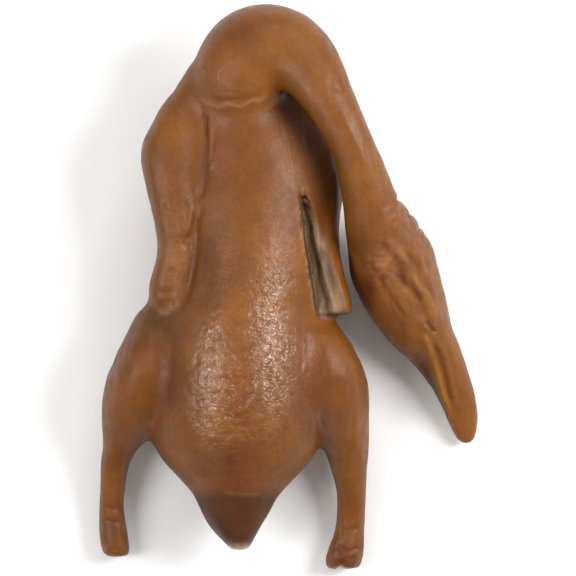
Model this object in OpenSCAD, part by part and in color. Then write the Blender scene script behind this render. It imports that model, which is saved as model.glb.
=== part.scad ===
// Roast duck replica: a dressed duck that lies on its breast, with its neck folded back.
// Two moulded shells make the torso. The wings and legs turn on pegs, and the neck
// is three moulded pieces on a hinged wire armature, so it unfolds sideways.
// Millimetres, +Z up, +Y towards the neck end, +X on the duck's right side.

/* [Torso] */
// Height of the back above the surface that the duck lies on
back_h = 104; // [100:1:106]
// Thickness of the moulded shells
wall = 3; // [2.5:0.5:3.5]
// Height of the seam between the breast shell and the back shell
seam_z = 18; // [17:1:19]

/* [Fits] */
// Gap between pieces that turn against each other
gap = 0.3; // [0.3:0.1:0.5]
// Radial running clearance of every pin and peg
running = 0.05; // [0.02:0.01:0.1]

/* [Pegs] */
// Radius of the pegs that the wings turn on
wing_peg_r = 5; // [4:0.5:5.5]
// Radius of the pegs that the legs turn on
hip_peg_r = 6; // [5:0.5:6.5]
// Radius of the vertical pins in the neck
neck_pin_r = 3; // [2.5:0.5:3]

/* [Hidden] */
$fn = 48;

skin = [0.59, 0.37, 0.2];
dark_skin = [0.42, 0.25, 0.13];
steel = [0.72, 0.73, 0.75];
nylon = [0.9, 0.88, 0.82];
foam = [0.93, 0.86, 0.62];

sides = 32;          // points round every moulded section
steps = 3;           // sections between two stations of a loft
far = 400;           // longer than the duck

// Torso stations along Y: [y, centre x, half width, top z, widest z, bottom z]
tail_y = -142;
front_y = 136;
torso_stations = [
    [tail_y, -34, 31, back_h - 37, 44, 25],
    [-130, -34.5, 41, back_h - 28, 43, 15],
    [-112, -35, 53, back_h - 18, 42, 6],
    [-90, -35.5, 63, back_h - 8, 42, 0],
    [-65, -35, 66, back_h - 2, 42, -4],
    [-35, -33, 64, back_h, 42, -5],
    [0, -29, 60, back_h - 2, 42, -5],
    [40, -26, 58, back_h - 6, 42, -5],
    [80, -25, 57, back_h - 10, 42, -5],
    [105, -27, 54, back_h - 13, 42, -4],
    [125, -31, 48, back_h - 14, 43, 0],
    [front_y, -35, 42, back_h - 14, 45, 8]
];

// Sides of the torso that the limbs turn against
left_hip_x = -94;
right_hip_x = 23.5;
left_wing_x = -60;
right_wing_x = 12;

// Pivots, [y, z] on those sides
hip_pivot = [-64, 48];
left_wing_pivot = [98, 65];
right_wing_pivot = [98, 54];
left_shoulder_r = 27;
right_shoulder_r = 24;
left_ledge_z = left_wing_pivot[1] - left_shoulder_r - 1;
right_ledge_z = right_wing_pivot[1] - right_shoulder_r - 1;
wing_end_y = -26;
thigh_r = 40;

// Limb stations along Y: [y, centre x, half width, centre z, half height]
left_wing_stations = [
    [100, -77, 21, 65, 23], [80, -79, 21, 65, 24], [50, -78, 17.5, 63, 22],
    [25, -77.5, 13, 61, 19], [5, -79, 13.5, 59, 17], [-8, -80, 15, 57, 16],
    [-16, -80, 12, 57, 13]
];
right_wing_stations = [
    [100, 18, 5.5, 54, 18], [84, 19, 6.5, 53, 19], [66, 22.5, 10, 52, 20],
    [40, 25, 9.5, 51, 20], [10, 28.5, 9, 50, 19], [-5, 32, 9.5, 49, 18],
    [-18, 33.5, 9.5, 49, 17]
];
left_leg_stations = [
    [-60, -108, 19, 46, 30], [-85, -110, 18.5, 41, 27], [-105, -114, 15.5, 33, 21],
    [-122, -119, 10.8, 26, 15], [-142, -121.5, 8.5, 20, 11], [-157, -121.8, 8.3, 16, 10],
    [-174, -120, 10, 13, 10.5], [-186, -118, 9, 12.5, 9.5]
];
right_leg_stations = [
    [-60, 36, 18, 46, 30], [-85, 37.5, 18, 41, 27], [-105, 40, 15.8, 33, 21],
    [-124, 42, 13, 26, 15], [-143, 43.5, 10.3, 19.5, 11], [-162, 43, 10, 15, 10],
    [-180, 40.5, 11.8, 13, 11], [-196, 38, 12, 12.5, 10.5]
];
tail_stations = [
    [tail_y, -34, 31, 46, 21], [-150, -35, 27.5, 47, 18.5], [-160, -35.5, 21, 48, 15],
    [-170, -35, 14.5, 48, 11], [-177, -33.5, 10, 48, 8], [-182, -32.5, 6, 48, 6]
];

// Neck and head: hinge centres, ball radii, and stations [x, y, z, half width, half height]
neck_root = [-34, 136, 74];
neck_bend = [4, 167, 80];
head_joint = [61, 42, 60];
root_ball_r = 29;
bend_ball_r = 25;
head_ball_r = 22;
neck_lower_run = [[-33, 145, 74], [-28, 160, 76], [-10, 168, 79]];
neck_lower_r = 25.5;
neck_lower_end_x = -8;
neck_upper_stations = [
    [7, 163, 81, 20, 20], [17, 150, 86, 21.5, 21], [33, 121, 93, 19, 18.5],
    [46, 92, 85, 17.5, 17.5], [54, 66, 70, 17.5, 18], [58, 54, 64, 18.5, 19]
];
head_stations = [
    [64, 35, 52, 18, 18], [71, 19, 42, 27, 26], [78, -3, 33, 29, 28],
    [90, -27, 28, 24.5, 24], [103, -51, 22, 17, 17], [114, -71, 16, 13.5, 12],
    [121, -90, 12, 10.8, 8.5], [125, -103, 10, 8, 6], [127, -110, 9, 4, 3.5]
];
// Line, seen from above, that parts the lower bill from the head: two points
bill_line = [[80, -26], [119, -112]];

// Armature: wire radius, hinge eye, ears and the bends of each wire
wire_r = 3.5;
wire_sides = 12;
eye_r = 9;
eye_h = 8.6;
ear_h = 3;
slot_h = 9;
riser_in = 10.8;
riser_out = 15;
lower_wire = [[-33, 151, 74], [-22, 167, 80], [4, 167, 80]];
upper_wire = [[14, 156, 80], [20, 146, 86], [33, 121, 93], [46, 92, 83], [57, 63, 60], [61, 42, 60]];
head_wire = [[67, 28, 60], [72, 16, 50], [79, -5, 36]];
// How far each hinge turns, and the direction that the wire before it comes from
root_swing = [0, 25];
bend_swing = [0, 60];
head_swing = [-10, 35];
root_feed = 270;
bend_feed = 180;
head_feed = 101;
slot_margin = 25;

// Screws and the plates that they hold
bulkhead_y = 83;
bulkhead_t = 4;
plate_floor = wall;
plate_t = 5;
seam_screw_xy = [[-67, 55], [-67, 0], [17, 55], [17, 0]];
ballast_screw_xy = [[-28, -30], [-28, 60]];
boss_r = 5;
screw_r = 2;
screw_head_r = 4;
screw_head_h = 2.5;
seam_screw_z = 8.5;
ballast_screw_z = 0.6;

function spline(a, b, c, d, t) =
    0.5 * (2 * b + (c - a) * t + (2 * a - 5 * b + 4 * c - d) * t * t
    + (3 * b - a - 3 * c + d) * t * t * t);

function held(list, i) = list[max(0, min(len(list) - 1, i))];

// Stations with smooth ones worked out between them
function smooth(list) = [
    for (i = [0 : len(list) - 2], k = [0 : steps - 1])
        spline(held(list, i - 1), list[i], list[i + 1], held(list, i + 2), k / steps),
    list[len(list) - 1]
];

// Section of the torso across Y, set in by an amount
function torso_ring(s, inset) = [
    for (k = [0 : sides - 1])
        let (
            a = 360 * k / sides,
            rise = sin(a) > 0 ? s[3] - s[4] - inset : s[4] - s[5] - inset,
            lift = sin(a) > 0 ? sin(a) : -pow(-sin(a), 0.7)
        )
        [s[1] + (s[2] - inset) * cos(a), s[0], s[4] + rise * lift]
];

// Oval section across Y, of a limb whose stations run towards -Y
function limb_ring(s) = [
    for (k = [0 : sides - 1])
        let (a = 360 * k / sides)
        [s[1] + s[2] * cos(a), s[0], s[3] + s[4] * sin(a)]
];

// Oval upright section across a path's heading
function path_ring(s, heading) = [
    for (k = [0 : sides - 1])
        let (a = 360 * k / sides)
        [
            s[0] + s[3] * cos(a) * sin(heading),
            s[1] - s[3] * cos(a) * cos(heading),
            s[2] + s[4] * sin(a)
        ]
];

function heading_at(list, i) =
    let (step = held(list, i + 1) - held(list, i - 1))
    atan2(step[1], step[0]);

// Closed skin over a row of sections that each have the same number of points
module loft(rings) {
    n = len(rings[0]);
    last = (len(rings) - 1) * n;
    skin_faces = [
        for (i = [0 : len(rings) - 2], j = [0 : n - 1])
            let (a = i * n + j, b = i * n + (j + 1) % n)
            each [[a, b, b + n], [a, b + n, a + n]]
    ];
    first_cap = [for (j = [n - 1 : -1 : 0]) j];
    last_cap = [for (j = [0 : n - 1]) last + j];
    polyhedron([for (ring = rings) each ring], concat(skin_faces, [first_cap, last_cap]));
}

module limb_loft(stations) {
    rings = [for (s = smooth(stations)) limb_ring(s)];
    loft([for (i = [len(rings) - 1 : -1 : 0]) rings[i]]);
}

module path_loft(stations) {
    list = smooth(stations);
    loft([for (i = [0 : len(list) - 1]) path_ring(list[i], heading_at(list, i))]);
}

module block(low, high) {
    translate(low)
        cube(high - low);
}

// Cylinder along +X from x0 to x1
module bar_x(r, x0, x1) {
    translate([x0, 0, 0])
        rotate([0, 90, 0])
            cylinder(r = r, h = x1 - x0);
}

// Puts a limb's own axes, +X outwards, at its pivot on one side of the torso
module at_side(side_x, pivot) {
    translate([side_x, pivot[0], pivot[1]])
        rotate([0, 0, side_x < -35 ? 180 : 0])
            children();
}

module at_left_wing() at_side(left_wing_x, left_wing_pivot) children();
module at_right_wing() translate([right_wing_x, right_wing_pivot[0], right_wing_pivot[1]]) children();
module at_left_hip() at_side(left_hip_x, hip_pivot) children();
module at_right_hip() at_side(right_hip_x, hip_pivot) children();

// ---- Torso ----

module torso_form(inset) {
    intersection() {
        loft([for (s = smooth(torso_stations)) torso_ring(s, inset)]);
        block(
            [left_hip_x + inset, tail_y + inset, inset],
            [right_hip_x - inset, front_y - inset, 2 * back_h]
        );
    }
}

// Room for a wing: a disc round its pivot and a long pocket behind it
module wing_room(r, ledge_z, pivot, grow) {
    bar_x(r + gap + grow, -grow, far);
    block(
        [-grow, wing_end_y - pivot[0] - grow, ledge_z - pivot[1] - grow],
        [far, 0, far]
    );
}

module wing_rooms(grow) {
    translate([left_wing_x, left_wing_pivot[0], left_wing_pivot[1]])
        mirror([1, 0, 0])
            wing_room(left_shoulder_r, left_ledge_z, left_wing_pivot, grow);
    at_right_wing()
        wing_room(right_shoulder_r, right_ledge_z, right_wing_pivot, grow);
}

module ball(centre, r) {
    translate(centre)
        hull()
            sphere(r = r, $fn = 32);
}

module neck_seat(grow) {
    ball(neck_root, root_ball_r + gap + grow);
}

module peg_holes() {
    at_left_wing() bar_x(wing_peg_r + wall, -2 * wall, far);
    at_right_wing() bar_x(wing_peg_r + wall, -2 * wall, far);
    at_left_hip() bar_x(hip_peg_r + wall, -2 * wall, far);
    at_right_hip() bar_x(hip_peg_r + wall, -2 * wall, far);
}

module torso_wall() {
    difference() {
        torso_form(0);
        wing_rooms(0);
        neck_seat(0);
        difference() {
            torso_form(wall);
            wing_rooms(wall);
            neck_seat(wall);
        }
    }
}

module screw(p, head_z, tip_z) {
    translate([p[0], p[1], head_z])
        cylinder(r = screw_head_r, h = screw_head_h);
    translate([p[0], p[1], head_z])
        cylinder(r = screw_r, h = tip_z - head_z);
}

// Well under a screw head, up from the belly
module screw_well(p, head_z) {
    translate([p[0], p[1], -1])
        cylinder(r = screw_head_r, h = head_z + screw_head_h + 1);
}

function seam_screw_tip(p) = (p[0] < -35 ? left_ledge_z : right_ledge_z) - wall;

module seam_screws() {
    color(steel)
        for (p = seam_screw_xy)
            screw(p, seam_screw_z, seam_screw_tip(p));
}

module ballast_screws() {
    color(steel)
        for (p = ballast_screw_xy)
            screw(p, ballast_screw_z, plate_floor + plate_t);
}

module back_shell() {
    color(skin)
        difference() {
            union() {
                intersection() {
                    torso_wall();
                    block([-far, -far, seam_z], [far, far, far]);
                }
                for (p = seam_screw_xy)
                    translate([p[0], p[1], seam_z])
                        cylinder(r = boss_r, h = seam_screw_tip(p) + 1 - seam_z);
            }
            for (p = seam_screw_xy)
                screw(p, seam_screw_z, seam_screw_tip(p));
            peg_holes();
            bracket_wire();
            tail_spigot();
        }
}

module breast_shell() {
    color(skin)
        difference() {
            union() {
                intersection() {
                    torso_wall();
                    block([-far, -far, 0], [far, far, seam_z]);
                }
                intersection() {
                    torso_form(0);
                    for (p = seam_screw_xy)
                        translate([p[0], p[1], 0])
                            cylinder(r = boss_r, h = seam_z);
                }
            }
            for (p = seam_screw_xy) {
                screw(p, seam_screw_z, seam_z + 1);
                screw_well(p, seam_screw_z);
            }
            for (p = ballast_screw_xy) {
                screw(p, ballast_screw_z, seam_z);
                screw_well(p, ballast_screw_z);
            }
        }
}

module tail_spigot() {
    translate([-34, tail_y + wall + 3, 46])
        rotate([90, 0, 0])
            cylinder(r = 10, h = wall + 4);
}

module tail_casting() {
    color(dark_skin)
        union() {
            limb_loft(tail_stations);
            tail_spigot();
        }
}

module foam_core() {
    color(foam)
        difference() {
            intersection() {
                loft([for (s = smooth(torso_stations))
                    torso_ring([s[0], s[1], s[2] * 0.48, s[3] - 9, s[4], s[5]], 0)]);
                torso_form(wall + gap);
                block([-far, -118, plate_floor + plate_t], [far, bulkhead_y, far]);
            }
            wing_rooms(wall + gap);
            neck_bracket();
        }
}

module ballast_plate() {
    color(steel)
        difference() {
            block([-50, -45, plate_floor], [-6, 75, plate_floor + plate_t]);
            for (p = ballast_screw_xy)
                screw(p, ballast_screw_z, seam_z);
        }
}

module neck_bulkhead() {
    color([0.75, 0.62, 0.42])
        difference() {
            block([-50, bulkhead_y, 24], [-8, bulkhead_y + bulkhead_t, 86]);
            bracket_wire();
        }
}

module bracket_wire() {
    translate([neck_root[0], neck_root[1] - eye_r + 1, neck_root[2]])
        rotate([90, 0, 0])
            cylinder(r = wire_r, h = neck_root[1] - eye_r + 1 - bulkhead_y);
}

module eye_at(p) {
    translate(p - [0, 0, eye_h / 2])
        cylinder(r = eye_r, h = eye_h);
}

module eye_bore_at(p) {
    translate(p - [0, 0, eye_h])
        cylinder(r = neck_pin_r + running, h = 2 * eye_h);
}

module neck_bracket() {
    color(steel)
        difference() {
            union() {
                eye_at(neck_root);
                bracket_wire();
                translate([neck_root[0], bulkhead_y, neck_root[2]])
                    rotate([90, 0, 0])
                        cylinder(r = eye_r, h = wall);
            }
            eye_bore_at(neck_root);
        }
}

module neck_nut() {
    color(steel)
        difference() {
            translate([neck_root[0], bulkhead_y + bulkhead_t + 5, neck_root[2]])
                rotate([90, 0, 0])
                    cylinder(r = 7.5, h = 5, $fn = 6);
            bracket_wire();
        }
}

// ---- Pegs that the wings and legs turn on ----

module bush(r) {
    color(nylon)
        difference() {
            union() {
                bar_x(r + wall, -10, 0);
                bar_x(r + 2 * wall, -2 * wall, -wall);
            }
            bar_x(r + running, -20, 10);
        }
}

module peg(r, depth, flange_r) {
    color(nylon)
        union() {
            bar_x(r, -13, depth);
            bar_x(flange_r, depth - wall, depth);
        }
}

module clip(r) {
    color(steel)
        difference() {
            bar_x(r + 4, -12.3, -10 - gap);
            bar_x(r, -20, 10);
        }
}

left_wing_depth = 18;
right_wing_depth = 7;
hip_depth = 20;
wing_flange_r = 12;
hip_flange_r = 16;

module left_wing_bush() at_left_wing() bush(wing_peg_r);
module right_wing_bush() at_right_wing() bush(wing_peg_r);
module left_hip_bush() at_left_hip() bush(hip_peg_r);
module right_hip_bush() at_right_hip() bush(hip_peg_r);
module left_wing_peg() at_left_wing() peg(wing_peg_r, left_wing_depth, wing_flange_r);
module right_wing_peg() at_right_wing() peg(wing_peg_r, right_wing_depth, wing_flange_r);
module left_hip_peg() at_left_hip() peg(hip_peg_r, hip_depth, hip_flange_r);
module right_hip_peg() at_right_hip() peg(hip_peg_r, hip_depth, hip_flange_r);
module left_wing_clip() at_left_wing() clip(wing_peg_r);
module right_wing_clip() at_right_wing() clip(wing_peg_r);
module left_hip_clip() at_left_hip() clip(hip_peg_r);
module right_hip_clip() at_right_hip() clip(hip_peg_r);

// ---- Wings and legs ----

// Round shoulder or thigh: a flat disc that bulges outwards along +X
module joint_dome(r, depth) {
    rotate([0, 90, 0])
        rotate_extrude()
            polygon([
                [0, gap],
                for (k = [0 : 12])
                    [r * pow(cos(7.5 * k), 0.8), gap + (depth - gap) * pow(sin(7.5 * k), 0.8)]
            ]);
}

module left_wing_casting() {
    color(skin)
        difference() {
            union() {
                at_left_wing()
                    joint_dome(left_shoulder_r, 39);
                intersection() {
                    limb_loft(left_wing_stations);
                    block([-far, -far, 0], [left_wing_x - gap, far, far]);
                }
            }
            left_wing_peg();
        }
}

module right_wing_casting() {
    color(skin)
        difference() {
            union() {
                at_right_wing()
                    joint_dome(right_shoulder_r, 12);
                intersection() {
                    limb_loft(right_wing_stations);
                    block([right_wing_x + gap, -far, 0], [far, far, far]);
                }
            }
            right_wing_peg();
        }
}

module left_leg_casting() {
    color(skin)
        difference() {
            union() {
                at_left_hip()
                    joint_dome(thigh_r, 34);
                intersection() {
                    limb_loft(left_leg_stations);
                    block([-far, -far, 0], [left_hip_x - gap, far, far]);
                }
            }
            left_hip_peg();
        }
}

module right_leg_casting() {
    color(skin)
        difference() {
            union() {
                at_right_hip()
                    joint_dome(thigh_r, 31);
                intersection() {
                    limb_loft(right_leg_stations);
                    block([right_hip_x + gap, -far, 0], [far, far, far]);
                }
            }
            right_hip_peg();
        }
}

// ---- Neck and head ----

// Round section of the wire at one of its points
function wire_ring(points, i) =
    let (
        step = held(points, i + 1) - held(points, i - 1),
        run = step / norm(step),
        side = [run[1], -run[0], 0] / norm([run[0], run[1]]),
        up = cross(side, run)
    )
    [
        for (k = [0 : wire_sides - 1])
            let (a = 360 * k / wire_sides)
            points[i] + wire_r * (cos(a) * side + sin(a) * up)
    ];

// Wire through a list of points
module wire(points) {
    loft([for (i = [0 : len(points) - 1]) wire_ring(points, i)]);
}

// Two ears round a pin, joined by a riser on the side that the heading points to
module yoke(heading) {
    rotate([0, 0, heading])
        for (side = [-1, 1])
            translate([0, 0, side * (slot_h + ear_h) / 2]) {
                cylinder(r = eye_r, h = ear_h, center = true);
                translate([riser_out / 2, 0, 0])
                    cube([riser_out, eye_r, ear_h], center = true);
            }
    rotate([0, 0, heading])
        translate([(riser_in + riser_out) / 2, 0, 0])
            cube([riser_out - riser_in, eye_r, slot_h + 2 * ear_h], center = true);
}

module pin_at(p) {
    translate(p - [0, 0, slot_h / 2 + ear_h])
        cylinder(r = neck_pin_r, h = slot_h + 2 * ear_h);
}

// Room for the eye and the wire of the piece before, over the whole swing
module swing_slot(p, feed, swing, r) {
    reach = 1.25 * r + 5;
    from_angle = feed - swing[1] - slot_margin;
    to_angle = feed - swing[0] + slot_margin;
    translate(p - [0, 0, slot_h / 2]) {
        cylinder(r = eye_r + 0.8, h = slot_h);
        linear_extrude(slot_h)
            polygon([
                [0, 0],
                for (k = [0 : 4])
                    let (a = from_angle + (to_angle - from_angle) * k / 4)
                    reach * [cos(a), sin(a)]
            ]);
    }
}

lower_heading = 90;
upper_heading = -48;
head_heading = -67;

module neck_lower_link() {
    color(steel)
        difference() {
            union() {
                translate(neck_root)
                    yoke(lower_heading);
                wire(lower_wire);
                eye_at(neck_bend);
            }
            eye_bore_at(neck_bend);
            pin_at(neck_root);
        }
}

module neck_upper_link() {
    color(steel)
        difference() {
            union() {
                translate(neck_bend)
                    yoke(upper_heading);
                wire(upper_wire);
                eye_at(head_joint);
            }
            eye_bore_at(head_joint);
            pin_at(neck_bend);
        }
}

module head_link() {
    color(steel)
        difference() {
            union() {
                translate(head_joint)
                    yoke(head_heading);
                wire(head_wire);
            }
            pin_at(head_joint);
        }
}

module neck_root_pin() color(steel) pin_at(neck_root);
module neck_bend_pin() color(steel) pin_at(neck_bend);
module head_pin() color(steel) pin_at(head_joint);

module neck_lower_casting() {
    color(skin)
        difference() {
            union() {
                ball(neck_root, root_ball_r);
                for (i = [0 : 1])
                    hull()
                        for (p = [neck_lower_run[i], neck_lower_run[i + 1]])
                            translate(p)
                                sphere(r = neck_lower_r, $fn = 32);
            }
            block([neck_lower_end_x, neck_root[1] + 1, 0], [far, far, far]);
            ball(neck_bend, bend_ball_r + gap);
            swing_slot(neck_root, root_feed, root_swing, root_ball_r);
            neck_lower_link();
            neck_root_pin();
        }
}

module neck_upper_casting() {
    color(skin)
        difference() {
            union() {
                ball(neck_bend, bend_ball_r);
                path_loft(neck_upper_stations);
            }
            ball(head_joint, head_ball_r + gap);
            swing_slot(neck_bend, bend_feed, bend_swing, bend_ball_r);
            neck_upper_link();
            neck_bend_pin();
        }
}

// Everything on the lower bill's side of the line that parts the bill
module lower_bill_side() {
    run = bill_line[1] - bill_line[0];
    translate([bill_line[0][0], bill_line[0][1], -1])
        rotate([0, 0, atan2(run[1], run[0])])
            translate([0, -100, 0])
                cube([200, 100, 100]);
}

module head_casting() {
    color(skin)
        difference() {
            union() {
                ball(head_joint, head_ball_r);
                path_loft(head_stations);
            }
            lower_bill_side();
            swing_slot(head_joint, head_feed, head_swing, head_ball_r);
            head_link();
            head_pin();
        }
}

module lower_bill() {
    color(dark_skin)
        intersection() {
            path_loft(head_stations);
            lower_bill_side();
        }
}

back_shell();
breast_shell();
tail_casting();
foam_core();
ballast_plate();
ballast_screws();
seam_screws();
neck_bulkhead();
neck_bracket();
neck_nut();
left_wing_bush();
right_wing_bush();
left_hip_bush();
right_hip_bush();
left_wing_casting();
left_wing_peg();
left_wing_clip();
right_wing_casting();
right_wing_peg();
right_wing_clip();
left_leg_casting();
left_hip_peg();
left_hip_clip();
right_leg_casting();
right_hip_peg();
right_hip_clip();
neck_lower_casting();
neck_lower_link();
neck_root_pin();
neck_upper_casting();
neck_upper_link();
neck_bend_pin();
head_casting();
lower_bill();
head_link();
head_pin();
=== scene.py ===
import math

import bpy
import numpy as np
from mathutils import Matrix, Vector
from mathutils.bvhtree import BVHTree


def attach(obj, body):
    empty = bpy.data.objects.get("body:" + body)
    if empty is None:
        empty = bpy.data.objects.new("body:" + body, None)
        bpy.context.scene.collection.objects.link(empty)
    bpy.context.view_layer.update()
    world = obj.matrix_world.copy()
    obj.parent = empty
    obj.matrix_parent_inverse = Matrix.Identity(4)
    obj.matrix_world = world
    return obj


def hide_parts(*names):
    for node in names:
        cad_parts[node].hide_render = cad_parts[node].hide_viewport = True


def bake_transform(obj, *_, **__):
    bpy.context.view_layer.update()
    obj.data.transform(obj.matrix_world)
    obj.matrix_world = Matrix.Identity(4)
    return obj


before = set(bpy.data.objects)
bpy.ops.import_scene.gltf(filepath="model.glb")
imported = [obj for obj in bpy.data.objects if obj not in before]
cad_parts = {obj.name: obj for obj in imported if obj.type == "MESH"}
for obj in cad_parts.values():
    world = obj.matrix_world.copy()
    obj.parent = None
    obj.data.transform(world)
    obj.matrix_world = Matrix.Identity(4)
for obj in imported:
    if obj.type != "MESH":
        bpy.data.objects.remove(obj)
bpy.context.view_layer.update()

MM = 0.001
LENS_MM = 200
SENSOR_MM = 36
VIEW_WIDTH = 397.4            # what the picture takes in across, at the mean height
MEAN_HEIGHT = 55
FRAME_SHIFT = 0.5             # how far before the origin the picture's middle lies
CAMERA_HEIGHT = MEAN_HEIGHT + VIEW_WIDTH * LENS_MM / SENSOR_MM
COARSE = 1.9                  # voxel of the first, soft skin
FINE = 1.15                   # voxel of the finished skin
HIDDEN = 1.7                  # voxel of the surfaces that only a lifted limb shows
SIDES = 40                    # points round each section of a form
SEAM_Z = 18                   # where the breast shell meets the back shell


# ---------------------------------------------------------------- camera, light and floor

def make_camera():
    """Straight down on the duck, as in the photograph."""
    data = bpy.data.cameras.new("camera")
    data.lens = LENS_MM
    data.sensor_width = SENSOR_MM
    data.clip_end = 20
    camera = bpy.data.objects.new("camera", data)
    camera.location = (0, -FRAME_SHIFT * MM, CAMERA_HEIGHT * MM)
    bpy.context.scene.collection.objects.link(camera)
    bpy.context.scene.camera = camera


def area_light(name, place, aim, size, power, colour=(1, 1, 1)):
    """Rectangular soft light that looks at a place."""
    data = bpy.data.lights.new(name, "AREA")
    data.shape = "RECTANGLE"
    data.size, data.size_y = size
    data.energy = power
    data.color = colour
    light = bpy.data.objects.new(name, data)
    light.location = place
    light.rotation_euler = (Vector(aim) - Vector(place)).to_track_quat("-Z", "Y").to_euler()
    bpy.context.scene.collection.objects.link(light)


def make_studio():
    """Pale sky, three soft lights and a plain pale floor."""
    bpy.context.scene.view_settings.view_transform = "Standard"
    world = bpy.data.worlds.new("studio")
    bpy.context.scene.world = world
    world.use_nodes = True
    background = world.node_tree.nodes["Background"]
    background.inputs["Color"].default_value = (1.0, 0.975, 0.945, 1)
    background.inputs["Strength"].default_value = 0.42
    area_light("key", (0.95, 0.25, 0.95), (0, 0.02, 0.05), (0.4, 0.8), 17)
    area_light("left", (-0.85, -0.15, 1.05), (-0.02, -0.02, 0.05), (0.35, 0.7), 9)
    area_light("head_end", (0.1, 1.15, 0.95), (0, 0, 0.05), (0.8, 0.3), 5)
    mesh = bpy.data.meshes.new("floor")
    half = 3.0
    mesh.from_pydata([(-half, -half, 0), (half, -half, 0), (half, half, 0), (-half, half, 0)],
                     [], [(0, 1, 2, 3)])
    floor = bpy.data.objects.new("floor", mesh)
    bpy.context.scene.collection.objects.link(floor)
    material = bpy.data.materials.new("floor")
    material.use_nodes = True
    shader = material.node_tree.nodes["Principled BSDF"]
    shader.inputs["Base Color"].default_value = (0.94, 0.94, 0.935, 1)
    shader.inputs["Roughness"].default_value = 0.8
    mesh.materials.append(material)


# ---------------------------------------------------------------- plain geometry

def smooth_rows(rows, steps):
    """The rows with smooth ones worked out between them."""
    rows = np.array(rows, float)
    padded = np.vstack([rows[0], rows, rows[-1]])
    out = []
    for i in range(len(rows) - 1):
        a, b, c, d = padded[i:i + 4]
        for t in np.arange(steps) / steps:
            out.append(0.5 * (2 * b + (c - a) * t + (2 * a - 5 * b + 4 * c - d) * t * t
                              + (3 * b - a - 3 * c + d) * t ** 3))
    return np.array(out + [rows[-1]])


def loft(rings):
    """Closed mesh over a row of sections that have the same number of points."""
    rings = np.array(rings)
    rows, n = rings.shape[:2]
    ring = np.arange(n)
    after = (ring + 1) % n
    quads = [np.stack([i * n + ring, i * n + after, (i + 1) * n + after, (i + 1) * n + ring], 1)
             for i in range(rows - 1)]
    caps = [list(range(n))[::-1], list(range((rows - 1) * n, rows * n))]
    return rings.reshape(-1, 3), [list(q) for q in np.vstack(quads)] + caps


ANGLES = np.linspace(0, 2 * math.pi, SIDES, endpoint=False)


def limb(rows, steps=4, box=1.0):
    """Loft along Y through [y, centre x, half width, centre z, half height].

    Its section is an ellipse when box is 1 and squarer below that."""
    across, up = (np.sign(turn) * np.abs(turn) ** box for turn in (np.cos(ANGLES), np.sin(ANGLES)))
    return loft([np.stack([x + w * across, np.full(SIDES, y), z + h * up], 1)
                 for y, x, w, z, h in smooth_rows(rows, steps)])


def torso_loft(rows, steps=5):
    """Loft along Y through [y, centre x, half width, top z, widest z, bottom z]."""
    rings = []
    for y, x, w, top, wide, bottom in smooth_rows(rows, steps):
        rise = np.sin(ANGLES)
        flatness = 1 - 0.22 * step_between(10, 70, y)
        up = (top - wide) * np.maximum(rise, 0) ** flatness
        down = (wide - bottom) * np.maximum(-rise, 0) ** 0.42
        rings.append(np.stack([x + w * np.cos(ANGLES), np.full(SIDES, y), wide + up - down], 1))
    return loft(rings)


def path_loft(rows, steps=5):
    """Loft along a level path through [x, y, z, half width, half height]."""
    rows = smooth_rows(rows, steps)
    runs = np.gradient(rows[:, :2], axis=0)
    runs /= np.linalg.norm(runs, axis=1)[:, None]
    rings = []
    for (x, y, z, w, h), (run_x, run_y) in zip(rows, runs):
        across = w * np.cos(ANGLES)
        rings.append(np.stack([x + across * run_y, y - across * run_x, z + h * np.sin(ANGLES)], 1))
    return loft(rings)


def ball(x, y, z, r):
    """Round ball from rings of the usual number of sides."""
    lift = np.linspace(-1, 1, 16)
    flat = np.sqrt(np.maximum(1 - lift ** 2, 0.0004))
    return loft([np.stack([x + r * f * np.cos(ANGLES), y + r * f * np.sin(ANGLES),
                           np.full(SIDES, z + r * u)], 1) for u, f in zip(lift, flat)])


def joined(parts):
    """Several meshes as one."""
    verts, faces, start = [], [], 0
    for v, f in parts:
        verts.append(v)
        faces += [[i + start for i in face] for face in f]
        start += len(v)
    return np.vstack(verts), faces


def new_mesh(name, verts, faces):
    """Mesh in metres from points in millimetres and faces of any number of corners."""
    mesh = bpy.data.meshes.new(name)
    if isinstance(faces, np.ndarray):
        sizes, corners = np.full(len(faces), faces.shape[1]), faces.ravel()
    else:
        sizes, corners = np.array([len(f) for f in faces]), np.concatenate(faces)
    mesh.vertices.add(len(verts))
    mesh.vertices.foreach_set("co", (verts * MM).ravel())
    mesh.loops.add(len(corners))
    mesh.loops.foreach_set("vertex_index", corners.astype(np.int32))
    mesh.polygons.add(len(sizes))
    mesh.polygons.foreach_set("loop_start", (np.cumsum(sizes) - sizes).astype(np.int32))
    mesh.update(calc_edges=True)
    return mesh


def skin_over(part, voxel):
    """One closed quad skin over everything in part."""
    mesh = new_mesh("rough", *part)
    rough = bpy.data.objects.new("rough", mesh)
    bpy.context.scene.collection.objects.link(rough)
    remesh = rough.modifiers.new("skin", "REMESH")
    remesh.mode = "VOXEL"
    remesh.voxel_size = voxel * MM
    remesh.adaptivity = 0
    made = rough.evaluated_get(bpy.context.evaluated_depsgraph_get()).to_mesh()
    verts = np.zeros(len(made.vertices) * 3)
    made.vertices.foreach_get("co", verts)
    corners = np.zeros(len(made.loops), np.int32)
    made.loops.foreach_get("vertex_index", corners)
    bpy.data.objects.remove(rough)
    bpy.data.meshes.remove(mesh)
    return verts.reshape(-1, 3) / MM, corners.reshape(-1, 4)


def edges_of(quads):
    """Each edge once, as the numbers of its two points."""
    pairs = np.sort(np.vstack([quads[:, [i, (i + 1) % 4]] for i in range(4)]), axis=1)
    return np.unique(pairs, axis=0)


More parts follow.
